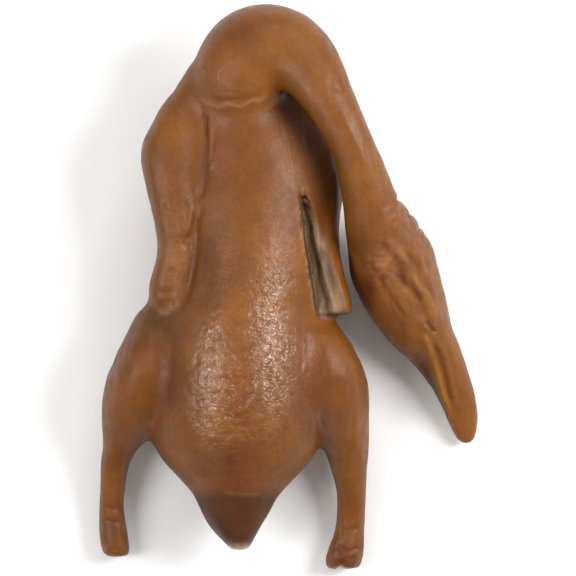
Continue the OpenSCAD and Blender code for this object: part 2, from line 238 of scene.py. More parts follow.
def relaxed(values, quads, rounds, share=None):
    """Each point's values drawn towards its neighbours', by its own share."""
    a, b = edges_of(quads).T
    n = len(values)
    count = np.bincount(a, minlength=n) + np.bincount(b, minlength=n)
    share = 0.5 if share is None else 0.5 * share[:, None]
    for _ in range(rounds):
        mean = np.stack([np.bincount(a, values[b, k], n) + np.bincount(b, values[a, k], n)
                         for k in range(values.shape[1])], 1) / count[:, None]
        values = values + (mean - values) * share
    return values


def normals_of(verts, quads):
    """Direction that the skin faces at each point."""
    a, b, c, d = (verts[quads[:, k]] for k in range(4))
    across = np.cross(c - a, d - b)
    total = np.stack([np.bincount(quads.ravel(), np.repeat(across[:, k], 4), len(verts))
                      for k in range(3)], 1)
    return total / np.maximum(np.linalg.norm(total, axis=1), 1e-9)[:, None]


# ---------------------------------------------------------------- fields over the skin

def step_between(low, high, value):
    """0 at low, 1 at high and smooth between; low may be the larger one."""
    t = np.clip((value - low) / (high - low), 0, 1)
    return t * t * (3 - 2 * t)


def band(distance, width):
    """1 where distance is 0, falling softly over its width."""
    return np.exp(-(distance / width) ** 2)


def blob(v, x, y, size_x, size_y=None):
    """1 at a place seen from above, falling softly away from it."""
    return np.exp(-((v[:, 0] - x) / size_x) ** 2 - ((v[:, 1] - y) / (size_y or size_x)) ** 2)


def noise(v, size, seed):
    """Smooth noise from -1 to 1 with lumps of about size."""
    p = v / np.broadcast_to(np.array(size, float), 3) + seed * 17.31
    cell = np.floor(p).astype(np.int64)
    f = p - cell
    f = f * f * (3 - 2 * f)
    total = np.zeros(len(v))
    for corner in range(8):
        at = np.array([corner & 1, corner >> 1 & 1, corner >> 2 & 1])
        key = ((cell + at) @ np.array([374761393, 668265263, 974634777])) & 0x7FFFFFFF
        key = ((key ^ (key >> 13)) * 1274126177) & 0x7FFFFFFF
        key = (key ^ (key >> 16)) & 0xFFFF
        total += np.prod(np.where(at, f, 1 - f), axis=1) * (key / 32767.5 - 1)
    return total


def ridges(v, size, seed):
    """Noise of thin raised folds, from 0 to 1."""
    return 1 - np.abs(noise(v, size, seed) + 0.4 * noise(v, np.array(size) * 0.5, seed + 7))


def along(v, points, width, taper=6.0):
    """1 on a line seen from above, falling away over its width, and fading at its ends."""
    points = smooth_rows(points, 5)
    xy = v[:, :2]
    result = np.zeros(len(v))
    low = points.min(0) - 3.5 * width
    high = points.max(0) + 3.5 * width
    near = np.nonzero(np.all((xy > low) & (xy < high), axis=1))[0]
    best = np.full(len(near), 1e9)
    where = np.zeros(len(near))
    lengths = np.linalg.norm(np.diff(points, axis=0), axis=1)
    starts = np.concatenate([[0], np.cumsum(lengths)])
    for i, length in enumerate(lengths):
        run = (points[i + 1] - points[i]) / length
        t = np.clip((xy[near] - points[i]) @ run, 0, length)
        d = np.linalg.norm(xy[near] - points[i] - t[:, None] * run, axis=1)
        where = np.where(d < best, starts[i] + t, where)
        best = np.minimum(d, best)
    ends = step_between(-0.15 * taper, taper, np.minimum(where, starts[-1] - where))
    result[near] = np.exp(-(best / width) ** 2) * ends
    return result


def at_y(y, table):
    """Value at each y of a short table of (y, value)."""
    ys, values = np.array(sorted(table), float).T
    return np.interp(y, ys, values)


# ---------------------------------------------------------------- forms of the duck

def torso_form():
    """Trunk from the tail's root to the shoulders."""
    return torso_loft([
        [-148, -36.3, 26, 71, 46, 26], [-142, -35.5, 30.5, 75.5, 45, 22],
        [-132, -35.3, 39.7, 82, 44, 17], [-120, -35, 50.5, 89, 43, 10],
        [-108, -35.5, 57.5, 95, 42, 4], [-90, -35.5, 62, 100, 42, -1],
        [-65, -34.5, 63.5, 104, 42, -4], [-35, -33, 59, 104.3, 42, -5],
        [-17, -32.8, 53.2, 102.5, 42, -5], [-7, -28.4, 54.6, 101, 42, -5],
        [20, -25.7, 54, 98, 42, -5], [58, -25.3, 54, 95.5, 42, -5], [85, -25, 53, 93, 42, -4],
        [105, -27, 49.5, 91.5, 42, 0], [120, -30, 46.5, 88.5, 42, 4],
        [132, -34.5, 40.5, 82, 42, 9], [141, -38, 32, 68, 42, 16], [147, -39, 20, 58, 42, 26]])


def tail_form():
    """Taper of the tail end."""
    return limb([
        [-135, -35.3, 33, 47, 25], [-142, -35.5, 29.8, 47.5, 25], [-150, -36, 26.6, 48, 22],
        [-157, -36.2, 22.8, 48.5, 19.5], [-164, -36.5, 18.8, 49, 16], [-171, -35.5, 14, 50, 13],
        [-177, -34, 9.5, 50, 10], [-181.5, -33.3, 6.8, 50, 7.5]])


def left_leg_form():
    """Thigh, shank and cut foot on the left."""
    return limb([
        [-7, -85, 9, 52, 12], [-13, -86.5, 13.5, 51, 17], [-18, -88, 16.3, 50, 20],
        [-25, -90.3, 18, 50, 24], [-35, -92.5, 20.5, 50, 30], [-45, -95.7, 22.2, 49, 33],
        [-56, -98.5, 24.3, 48, 35], [-66, -100.5, 25.6, 46, 35], [-80, -103, 25.4, 43, 32],
        [-93, -106.2, 22.6, 38, 27], [-105, -112.3, 15.8, 32, 21], [-113, -116.4, 12, 28, 17],
        [-122, -119.4, 10.2, 25, 14.5], [-135, -120.7, 9.4, 21, 11.5],
        [-151, -121.8, 8.9, 17, 10], [-163, -121, 9.9, 14.5, 10.2],
        [-172, -120.2, 10.4, 13.5, 11], [-180, -118.9, 9.9, 13, 11],
        [-185.8, -117.6, 9.6, 13, 10.6]])


def right_leg_form():
    """Thigh, shank and cut foot on the right."""
    return limb([
        [-14, 14, 6, 50, 12], [-20, 17, 13, 50, 18], [-26, 19, 16, 50, 22],
        [-35, 22, 19.5, 50, 29], [-45.5, 24.2, 23.3, 49, 33], [-56, 26, 26.2, 48, 35],
        [-66, 27.5, 27.8, 46, 35], [-80, 31, 25.3, 43, 32], [-93, 34.6, 21.6, 38, 27],
        [-105, 38.6, 17.4, 32, 22], [-116, 40.8, 14.8, 28, 17.5], [-124, 41.8, 13.2, 25, 15],
        [-139, 43.7, 10.8, 21, 12], [-152, 43.6, 10.3, 17.5, 10.8], [-162, 43.2, 10.2, 15, 10.4],
        [-172, 42, 11, 13.8, 11], [-178, 40.7, 12.4, 13.5, 11.5], [-187, 38.7, 13.3, 13.3, 11.5],
        [-194, 37.4, 12.3, 13.3, 11]])


def left_wing_form():
    """Folded wing that lies flat along the left flank."""
    return limb([
        [139, -62, 9, 59, 10], [132, -67.5, 14, 60, 15], [124, -71.7, 16.5, 61, 18],
        [114, -75.3, 17.8, 62, 21], [101, -79.1, 21, 62.5, 22.5], [88, -80.3, 21.3, 63, 22.5],
        [74, -79.7, 19.5, 63.5, 22], [61, -78.5, 17.6, 64, 21.5], [40, -77.8, 13.8, 65, 20],
        [24, -77.3, 12.8, 64, 19], [8, -80.5, 13.8, 63, 18], [-1, -82, 14.4, 62, 17],
        [-10, -81.5, 13.6, 61, 16], [-16, -80.5, 10.5, 60.5, 12]], box=0.72)


def right_wing_form():
    """Folded wing whose inner face shows, below the neck."""
    return limb([
        [145, -5, 9, 46, 15], [136, 0, 15, 48, 20], [126, 4.5, 18, 50, 22],
        [113, 8.5, 19.3, 51, 22], [100, 13.5, 20, 52, 21.5], [88, 17.8, 19, 52, 20.5],
        [75, 21.5, 17.7, 50.5, 20], [60, 22.9, 15, 48, 19.5], [45, 23.3, 12.3, 46.5, 19.5],
        [30, 25, 10.6, 51.5, 18], [18, 27.1, 10, 57, 17], [8, 29.2, 10, 57, 17],
        [-4, 32.5, 10.2, 57, 17], [-13, 34, 10.6, 57, 16], [-19, 34.4, 10, 57, 15]], box=0.93)


# x, y, z and radius along the folded neck
NECK_PATH = [
    [-35, 126, 61, 25.5], [-35, 136, 68, 29.5], [-34.3, 144, 72, 31.3], [-32.5, 152, 74, 31.6],
    [-25.5, 162, 76, 31], [-14.5, 166.3, 79, 29.6], [-2.5, 165, 82, 27.2], [7.5, 158.8, 85, 24.8],
    [17.8, 147, 89, 21.8], [26.3, 133, 92, 18.8], [34.4, 119, 93, 16.6], [45, 96, 90, 15.6],
    [52, 76, 83, 17.2], [56.3, 60, 76, 19], [60.9, 46, 68, 22.2], [66, 33, 54, 25.7],
    [70.5, 20, 43.5, 29]]


def neck_form():
    """Neck folded back over the right shoulder."""
    return joined([ball(*row) for row in smooth_rows(NECK_PATH, 7)])


def root_form():
    """Flare that carries the neck's root down into the shoulders."""
    return limb([
        [98, -34, 38, 50, 22], [112, -34.5, 41, 55, 26.5], [126, -37, 42.5, 59, 28.5],
        [136, -40.5, 38, 62, 28], [145, -39.5, 33.5, 65, 26], [152, -38, 31, 68, 22],
        [159, -36, 27, 72, 18]])


def head_form():
    """Head and bill on their side, down to the bill's tip."""
    return path_loft([
        [66, 33, 52, 23, 23], [70.5, 20, 43, 30.2, 26], [78.3, -1.3, 35, 28.8, 28.5],
        [89.5, -25, 28.5, 24, 24], [98, -38.7, 25, 18.8, 20], [105, -50.9, 21.5, 16.6, 16.5],
        [114, -69.4, 16.5, 13.7, 12.5], [120.2, -87.3, 13, 11.6, 9.2], [122, -98, 11.5, 9.4, 7.4],
        [123, -105, 10.8, 6.6, 5.6], [123.2, -108.6, 10.6, 2.8, 3.4]])


FORMS = ["torso", "tail", "left_leg", "right_leg", "left_wing", "right_wing", "neck", "head"]
TORSO, TAIL, LEFT_LEG, RIGHT_LEG, LEFT_WING, RIGHT_WING, NECK, HEAD = range(len(FORMS))


def all_forms():
    """The forms in the order of FORMS."""
    return [joined([torso_form(), root_form()]), tail_form(), left_leg_form(), right_leg_form(),
            left_wing_form(), right_wing_form(), neck_form(), head_form()]


# ---------------------------------------------------------------- sculpting

SLIT_START, SLIT_END = 62, -26          # where along Y the right wing stands open
WING_END = -21                          # where its own skin stops
# (y, x) of the slit's edge and of the wing's outer rim
SLIT = [(70, 7.5), (60, 8.6), (36, 11), (12, 14.6), (-9, 18.4), (-24, 21)]
WING_RIM = [(70, 32.5), (56, 33.8), (36, 36), (10, 38), (-5, 42), (-16, 43.5), (-24, 43)]


def soften(verts, quads):
    """Fillets between the forms: wide where a thigh, the tail or the neck leaves the torso."""
    share = 0.12 + 0 * verts[:, 0]
    upper = 0.3 + 0.7 * step_between(20, 50, verts[:, 2])
    for line, width in [
            ([(-88, -8), (-86, -40), (-85, -70), (-88, -86)], 12),
            ([(16, -8), (12, -40), (12, -72), (15, -90)], 12),
            ([(-62, -136), (-34, -140), (-8, -136)], 13),
            ([(-66, 142), (-61, 128), (-58, 112), (-59, 92), (-62, 66)], 12),
            ([(-64, 60), (-66, 36), (-67, 10)], 6),
            ([(-60, 122), (-34, 117), (-10, 118), (12, 108)], 15),
            ([(-6, 124), (2, 108), (7, 88), (9, 66)], 13)]:
        share = np.maximum(share, upper * along(verts, line, width, 3))
    verts = relaxed(verts, quads, 80, share)
    return relaxed(verts, quads, 14, np.maximum(0.3 * share, blob(verts, 66, 42, 15)))


# (y, share) of the way from the slit to the rim that the inner face takes up
INNER_REACH = [(66, 0.1), (50, 0.36), (30, 0.56), (10, 0.7), (-8, 0.86), (-24, 0.9)]


def slit_edge(v):
    """X of the ragged edge of the slit, for each point."""
    wander = noise(v * [0, 1, 0.5], 9, 4) + 0.3 * noise(v * [0, 1, 0.5], 4, 9)
    return at_y(v[:, 1], SLIT) + 0.9 * wander


def inner_share(v):
    """How far each point lies across the right wing's inner face, from 0 at the slit to 1."""
    slit = slit_edge(v)
    return (v[:, 0] - slit) / (at_y(v[:, 1], WING_RIM) - slit) / at_y(v[:, 1], INNER_REACH)


def slit_cut(v):
    """Opens the right wing: its inner face falls away to a slit beside the torso."""
    y, z = v[:, 1], v[:, 2]
    s = inner_share(v)
    depth = at_y(y, [(64, 0), (58, 5), (45, 9), (20, 11), (0, 11), (-13, 10), (-17, 4), (-19.5, 0)])
    top = at_y(y, [(64, 78), (40, 74), (10, 73), (-24, 71)])
    fall = depth * np.clip(1 - s, 0, 1) ** 1.1
    wander = 0.06 * noise(v, (30, 9, 30), 23)
    fall += 0.13 * depth * (band(s - 0.38 - wander, 0.09) - band(s - 0.6 - wander, 0.1))
    fall += 0.1 * depth * band(s - 0.85 + wander, 0.06)
    inside = (s > 0) & (s < 1.02) & (y < SLIT_START) & (y > SLIT_END) & (z > 42)
    out = v.copy()
    out[:, 2] = np.where(inside, np.minimum(z, top - fall), z)
    return out


WELL_RADIUS = 4.4
# True x and y of each screw, and how far up its well reaches
SCREWS = [(-67, 55, 9), (-67, 0, 9), (17, 55, 9), (17, 0, 9), (-28, -30, 1.5), (-28, 60, 1.5)]


def seen_from(x, y, z):
    """A true place as the camera sees it at the mean height."""
    scale = (CAMERA_HEIGHT - MEAN_HEIGHT) / (CAMERA_HEIGHT - z)
    return x * scale, y * scale


def screw_wells(v):
    """Wells in the belly under the CAD's screw heads."""
    out = v.copy()
    for x, y, roof in SCREWS:
        x, y = seen_from(x, y, 0)
        well = (np.hypot(v[:, 0] - x, v[:, 1] - y) < WELL_RADIUS) & (v[:, 2] < roof + 3)
        out[well, 2] = np.maximum(out[well, 2], roof)
    return out


def warped(v, reach, size):
    """The points pushed about sideways, so that what is drawn along a line wanders."""
    out = v.copy()
    out[:, 0] += reach * noise(v, size, 51)
    out[:, 1] += reach * noise(v, size, 52)
    return out


def turned(v, degrees):
    """The points turned about Z, to run a grain in another direction."""
    c, s = math.cos(math.radians(degrees)), math.sin(math.radians(degrees))
    return np.stack([c * v[:, 0] - s * v[:, 1], s * v[:, 0] + c * v[:, 1], v[:, 2]], 1)


def drawn(v, lines):
    """Sum of lines over the skin, each given as its height, points, width and taper."""
    return sum(height * along(v, points, width, taper) for height, points, width, taper in lines)


WING_FOLDS = [
    (2.2, [(-61, 58), (-64, 42), (-65.5, 20), (-69, 0), (-73, -14)], 3.2, 14),
    (1.8, [(-79.5, 14), (-80.5, 0), (-81, -13)], 2.0, 3),
    (1.3, [(-66, 52), (-64.8, 44), (-67, 36), (-71, 31)], 1.1, 3),
    (1.0, [(-75, 34), (-70, 28), (-71, 20)], 1.2, 3),
    (0.9, [(-87, 58), (-82, 50), (-80, 42)], 1.2, 3)]
FOOT_FOLDS = [
    (1.0, [(-127, -160), (-120, -162.5), (-112, -161)], 1.3, 2),
    (0.8, [(-127, -151), (-121, -153), (-114, -151.5)], 1.2, 2),
    (1.2, [(33, -178), (41, -182), (49, -179)], 1.5, 2),
    (0.8, [(35, -166), (43, -168), (50, -165)], 1.2, 2),
    (2.4, [(36.5, -188), (36.3, -194), (36.2, -200)], 1.9, 1)]


def creases(v):
    """How deep the folds are cut in, in millimetres."""
    bent = warped(v, 1.6, 9)
    worn = 0.6 + 0.5 * noise(v, 8, 27)
    wing_line = along(bent, [(-56.5, 110), (-56, 92), (-58, 74), (-61, 60)], 1.9)
    root_line = [(-62, 133), (-52, 129.5), (-42, 129), (-27, 130.5), (-15, 135)]
    cut = 1.5 * along(bent, [(-57, 121), (-56.8, 112), (-56.5, 103)], 1.5, 6)
    cut += 0.9 * (0.3 + 0.7 * worn) * wing_line
    cut += 0.8 * worn * along(bent, root_line, 2.0, 12)
    cut += 0.4 * along(bent, [(-5, 118), (-3, 104), (-1, 88), (3, 70)], 1.6, 12)
    cut += drawn(v, WING_FOLDS)
    return cut * step_between(38, 50, v[:, 2]) + drawn(v, FOOT_FOLDS)


HEAD_LINES = [
    (2.2, [(66, 34), (72, 28), (79, 20), (86, 8), (96, -10), (103, -25)], 3.0, 9),
    (-1.5, [(68, 24), (76, 12), (84, -2), (92, -16), (97, -25)], 2.6, 9),
    (1.0, [(86, 27), (93, 12), (100, -6), (106, -24)], 2.4, 9),
    (-1.0, [(81, 25), (90, 7), (99.5, -12)], 1.7, 8),
    (1.2, [(60, 20), (65, 10), (74, -4), (84, -20)], 4.5, 9),
    (-0.9, [(57, 24), (57.5, 14), (62, 5), (66, 0)], 2.0, 5),
    (-1.7, [(95.5, -22), (98, -26), (102, -31)], 1.2, 2),
    (1.3, [(94, -25), (97, -29.5), (100.5, -33.5)], 1.2, 2)]
BILL_LINES = [
    (1.6, [(94, -30), (98.5, -45), (105.5, -67), (112.5, -90), (117, -100)], 2.2, 6),
    (-1.8, [(91, -44), (97, -60), (104.5, -82), (110, -98)], 3.2, 8),
    (-0.9, [(100, -38), (106, -55), (112.5, -80)], 1.6, 6),
    (0.7, [(105, -38), (110.5, -56), (117, -80)], 1.8, 6),
    (-0.6, [(109, -40), (115, -60), (120, -82)], 1.4, 6)]
NAPE_FOLDS = [
    (-1.5, [(64, 54), (80, 62)], 1.7, 6),
    (-1.5, [(72, 44), (87, 53)], 1.7, 6),
    (-1.5, [(79, 36), (95, 43)], 1.7, 6)]
GRAIN_ANGLE, BILL_ANGLE = -25, -18      # how the folds of the head and the bill run


def head_relief(v):
    """Ridges, eye, nostril and folds of the head, which lies on its side."""
    upper = step_between(14, 24, v[:, 2])
    v = warped(v, 1.8, 13)
    grain = turned(v, GRAIN_ANGLE)
    rise = drawn(v, HEAD_LINES + BILL_LINES) - 1.6 * blob(v, 54, -2, 5, 8)
    rise += 1.7 * blob(v, 84, 0, 18, 26) * (ridges(grain, (5, 20, 12), 33) - 0.6)
    rise += 1.5 * blob(v, 67, 13, 8, 13) * (ridges(v, (5, 6, 8), 17) - 0.6)
    rise += 0.5 * blob(v, 108, -62, 12, 30) * noise(turned(v, BILL_ANGLE), (2.4, 26, 9), 19)
    rise += 0.5 * blob(v, 78, -20, 22, 26) * noise(v, 8, 22)
    folds = along(v, [(72, 64), (80, 53), (90, 43), (98, 28)], 7, 4)
    return rise * upper + drawn(v, NAPE_FOLDS) + folds * (2.2 * ridges(v, 8.5, 3) - 1.3)


ROOT_RIDGE = [(-63, 131), (-52, 126), (-43, 125.6), (-27, 126.5), (-18, 130), (-13, 135)]
TAIL_LINE = [(-44, -141.5), (-31, -143), (-18, -142)]
BODY_LINES = [
    (-1.6, [(-31, -30), (-32, -70), (-33, -108)], 9, 20),
    (1.0, [(-50, -38), (-51, -75), (-49, -104)], 8, 20),
    (1.2, [(-14, -25), (-12, -60), (-14, -100)], 9, 20),
    (0.9, [(-72, 61), (-68, 57), (-67, 48), (-69.5, 38)], 1.3, 4),
    (0.5, TAIL_LINE, 0.9, 3),
    (0.7, [(34, 128), (42, 111), (50, 93), (56, 82)], 2.2, 10),
    (-0.7, [(20, 137), (28, 139), (36, 135)], 1.4, 4)]
WANDERING_LINES = [
    (0.7, [(-49, 108), (-50, 94), (-54, 79)], 1.6, 6),
    (0.3, [(-36, 98), (-36, 80), (-35, 62)], 1.8, 12),
    (0.3, [(-2, 112), (0, 96), (3, 78), (6, 66)], 1.8, 12)]


def body_relief(v):
    """Low broad shapes and skin folds of the torso, wings, neck and feet."""
    bent = warped(v, 1.8, 8)
    rise = drawn(v, BODY_LINES) + drawn(bent, WANDERING_LINES)
    rise += along(bent, ROOT_RIDGE, 1.4, 10) * (0.55 + 0.5 * noise(v, 7, 28))
    rise += 0.5 * blob(v, -40, 134, 24, 8) * (ridges(turned(v, 8), (13, 4, 9), 29) - 0.6)
    rise += 1.0 * blob(v, -71.5, 44, 4, 8)
    crinkle = blob(v, -71, 36, 9, 15) * step_between(-64, -67, v[:, 0])
    rise += crinkle * (1.4 * ridges(v, 4.6, 2) - 0.8)
    rise += 0.8 * blob(v, -85, -5, 8, 9) * noise(v, 5, 12)
    ring = np.hypot(v[:, 0] + 16, v[:, 1] - 133) / 3.1
    arcs = np.sin(2 * math.pi * ring + 3.4 * noise(v, 7, 6)) * (0.6 + 0.6 * noise(v, 5, 30))
    rise += 0.36 * arcs * (blob(v, -42, 150, 14, 11) + 0.9 * blob(v, -22, 166, 9, 8))
    rise += 0.3 * blob(v, -25, -40, 45, 60) * noise(v, (7, 11, 7), 5)
    rump = blob(v, -32, -62, 40, 62)
    rise += rump * (1.3 * ridges(v, 5.5, 8) + 0.6 * ridges(v, 3.8, 18) - 1.14)
    lines = np.sin(2 * math.pi * v[:, 1] / 2.6 + 1.5 * noise(v, 12, 15))
    rise += 0.14 * lines * blob(v, -33, -115, 26, 11)
    rise -= 1.6 * blob(v, 11.5, 60, 4, 6) * (ridges(v, 3, 49) - 0.4)
    lip = band(v[:, 0] - slit_edge(v) + 1.6, 1.3) * step_between(66, 58, v[:, 1])
    rise += 0.8 * lip * step_between(-22, -12, v[:, 1]) * (0.6 + 0.6 * noise(v, 2.6, 14))
    feet = blob(v, -118.5, -184, 12, 6) + blob(v, 38.5, -191, 13, 7)
    streak = step_between(37, 50, np.abs(v[:, 0] + 33))
    return (rise * step_between(52, 70, v[:, 2]) + 1.5 * feet * (ridges(v, 5.5, 35) - 0.6)
            + 0.38 * streak * noise(v, (3.5, 26, 9), 21))


def seam_groove(v, labels):
    """Fine moulding line where the two torso shells meet."""
    on_torso = (labels == TORSO) & (v[:, 1] > -141)
    return 0.5 * on_torso * band(v[:, 2] - SEAM_Z, 0.8)


def labels_of(verts, quads, parts):
    """The form that each point of the skin belongs to."""
    form_verts, form_faces = joined(parts)
    owner = np.concatenate([[k] * len(faces) for k, (_, faces) in enumerate(parts)])
    tree = BVHTree.FromPolygons(form_verts.tolist(), form_faces)
    labels = owner[np.array([tree.find_nearest(p)[2] for p in verts.tolist()])]
    x, y, z = verts.T
    beside = (y < SLIT_START) & (y > WING_END) & (z > 40) & (x < at_y(y, WING_RIM) + 2)
    past_slit = x > slit_edge(verts) + 0.9
    labels = np.where(beside & past_slit & (labels != RIGHT_LEG), RIGHT_WING, labels)
    labels = np.where(beside & ~past_slit & (labels == RIGHT_WING), TORSO, labels)
    shares = relaxed(np.eye(len(parts))[labels], quads, 3)
    return np.argmax(shares, axis=1)


def sculpted():
    """The forms, the one skin over them with its folds, and each point's form."""
    parts = all_forms()
    verts, quads = skin_over(joined(parts), COARSE)
    verts = soften(verts, quads)
    verts, quads = skin_over((verts, quads), FINE)
    verts[:, 2] = np.maximum(verts[:, 2], 0)
    verts, quads = skin_over((screw_wells(slit_cut(verts)), quads), FINE)
    labels = labels_of(verts, quads, parts)
    in_slit = blob(verts, 20, 20, 12, 50)
    verts = relaxed(verts, quads, 6, 1 - 0.5 * in_slit)
    normals = normals_of(verts, quads)
    rise = body_relief(verts) + head_relief(verts) - creases(verts) - seam_groove(verts, labels)
    verts = verts + normals * rise[:, None]
    verts = relaxed(verts, quads, 1)
    verts[:, 2] = np.maximum(verts[:, 2], 0)
    return parts, verts, quads, labels


# ---------------------------------------------------------------- colour

LIT = 1.5                     # how bright the studio makes white
HAZE = 0.03                   # what the skin's gloss adds to its colour


def colour(red, green, blue):
    """Colour to give the skin so that it shows as these 0 to 255 numbers in the studio."""
    s = np.array([red, green, blue]) / 255
    shown = ((s + 0.055) / 1.055) ** 2.4
    return np.maximum(shown - HAZE, 0.25 * shown) / LIT


def paint(tint, coats):
    """The colours drawn towards one shade after another, each where its mask is above 0."""
    for mask, shown in coats:
        tint = tint + (colour(*shown) - tint) * np.clip(mask, 0, 1)[:, None]
    return tint


def paint_body(tint, v, labels, up):
    """Mottled back and thighs, with painted shade in the crotches, painted shadow of the left wing on
    the thigh and the back, and a painted sheen over the rump.
    """
    broad = noise(v, 34, 31) + 0.5 * noise(v, 15, 32)
    on_wing = labels == LEFT_WING
    # painted shadow that the left wing's end throws on the thigh
    wing_shadow_on_thigh = blob(v, -89, -24, 19, 23) * (1 - on_wing)
    # painted shade in the valleys between the thighs and the rump
    left_crotch_shade = along(v, [(-84, -35), (-80, -70), (-84, -95)], 13, 20)
    right_crotch_shade = along(v, [(14, -60), (14, -85), (22, -106)], 12, 14)
    # painted sheen: pale highlights painted on the rump's crinkles
    sheen = blob(v, -52, -68, 10, 40) + blob(v, -12, -48, 14, 44) + 0.6 * blob(v, -12, 20, 10, 30)
    spine = along(v, [(-31, -35), (-31, -70), (-33, -100)], 8, 14)
    flank = along(v, [(9, 50), (11, 20), (17, -12), (22, -30)], 7, 16)
    return paint(tint, [
        (0.4 * (broad + 0.1), (124, 74, 37)),
        (0.35 * (-0.1 - broad), (166, 110, 62)),
        (0.4 * on_wing, (146, 97, 58)),
        (0.95 * wing_shadow_on_thigh, (104, 76, 54)),
        (0.55 * left_crotch_shade, (104, 58, 32)),
        (0.5 * right_crotch_shade, (100, 62, 38)),
        # painted shadow of the left wing on the back beside its forearm
        (0.6 * blob(v, -53, 8, 9, 28), (104, 66, 40)),
        (0.5 * blob(v, -78, 14, 8, 20), (174, 120, 80)),
        (0.35 * up * blob(v, -28, 76, 30, 42), (126, 76, 38)),
        # painted sheen: the rump paler where its gloss reflects the lights
        (0.5 * up * blob(v, -32, -40, 40, 50), (158, 104, 62)),
        (0.4 * up * sheen * (ridges(v, 5.5, 8) - 0.3), (230, 180, 138)),
        (0.6 * up * spine, (152, 92, 42)),
        (0.35 * up * blob(v, -35, -118, 26, 14), (122, 66, 30)),
        (0.7 * up * flank, (162, 104, 50))])


def paint_tail(tint, v):
    """Dark tail end behind a pale line, with a pale, broken tip: a pale rim with a painted highlight
    on it.
    """
    x, y, _ = v.T
    return paint(tint, [
        (0.85 * step_between(-136, -148, y) * (np.abs(x + 34) < 60), (97, 67, 41)),
        (0.35 * along(v, TAIL_LINE, 1.2, 3), (170, 120, 80)),
        # pale rim at the tail's tip, with a painted highlight on it
        (blob(v, -33.5, -180.5, 8, 3.2) * (0.9 + 0.9 * noise(v, 2.6, 53)), (205, 180, 150))])


def paint_neck(tint, v, labels, up):
    """Paler neck, the ridge at its root, painted shade in the grooves at its root, and the painted
    shadow that the neck throws on the back.
    """
    on_neck = np.isin(labels, (NECK, HEAD))
    bent = warped(v, 1.8, 8)
    bead = along(bent, [(-52, 112), (-52.5, 98), (-55, 80)], 1.6, 8)
    groove = along(warped(v, 1.6, 9),
                   [(-60, 128), (-57, 117), (-55.5, 104), (-56.5, 88), (-58, 70)], 1.7, 8)
    shade = along(v, [(-20, 136), (2, 118), (18, 96), (32, 68), (38, 50)], 11, 20)
    return paint(tint, [
        (0.4 * on_neck, (158, 104, 62)),
        (0.55 * up * along(bent, ROOT_RIDGE, 1.7, 10), (196, 138, 96)),
        (0.4 * up * blob(v, -56, 128, 9, 8), (178, 122, 84)),
        (0.5 * up * blob(v, -30, 176, 12, 9), (122, 74, 42)),
        (0.45 * up * bead, (184, 126, 84)),
        # painted shade in the groove between the left wing and the back
        (0.5 * up * groove, (96, 60, 36)),
        (0.9 * shade * ~on_neck, (104, 70, 43))])


def paint_head(tint, v, up):
    """Bill with a painted highlight on its golden ridge and painted shade in its groove; painted
    highlights on the brow, the folds and the ear patch; painted shade between the folds, in the
    nostril and at the jaw.
    """
    bill = step_between(10, 16, v[:, 2])
    crest_highlight = along(v, [(94, -31), (98.5, -45), (105.5, -67), (113, -92)], 2.0, 5)
    gape_shade = along(v, [(88, -44), (95, -60), (103.5, -80), (110, -97)], 3.6, 8)
    furrow_shade = along(v, [(101, -38), (107, -55), (113.5, -80)], 1.6, 6)
    brow = along(v, [(72, 28), (79, 20), (86, 8), (96, -10), (103, -25)], 2.4, 9)
    fold = ridges(turned(v, GRAIN_ANGLE), (5, 20, 12), 33)
    nostril = along(v, [(96, -23), (98.5, -27), (102, -31)], 1.2, 2)
    ear = blob(v, 66, 14, 10, 16) * (ridges(v, 4.5, 17) - 0.35)
    return paint(tint, [
        # painted highlight along the bill's ridge
        (0.6 * bill * crest_highlight, (196, 134, 62)),
        # painted shade on the bill's steep side and in its grooves
        (0.75 * bill * gape_shade, (92, 62, 40)),
        (0.5 * bill * furrow_shade, (104, 66, 38)),
        # painted highlight on the brow ridge
        (0.5 * up * brow * (0.55 + 0.6 * noise(v, 8, 55)), (190, 134, 78)),
        # painted shade between the head's folds
        (1.3 * up * blob(v, 84, 0, 18, 28) * (0.62 - fold), (96, 60, 34)),
        # painted shade in the nostril slit
        (0.5 * nostril, (60, 34, 20)),
        # painted shade at the jaw, on the head's lower edge
        (0.5 * blob(v, 55, 0, 5, 8), (100, 58, 32)),
        # painted highlights on the crinkles of the ear patch
        (1.1 * up * ear, (190, 130, 96)),
        # painted highlight on the tops of the head's folds
        (0.9 * up * blob(v, 84, 2, 15, 26) * (fold - 0.7), (184, 126, 84))])


def paint_feet(tint, v):
    """Darker cut ends of the legs, with pale patches."""
    feet = blob(v, -119, -172, 14, 16) + blob(v, 40, -184, 15, 14)
    return paint(tint, [
        (0.6 * feet * (0.6 + 0.6 * noise(v, 8, 41)), (100, 62, 38)),
        (0.7 * feet * noise(v, 6, 54), (176, 122, 84))])


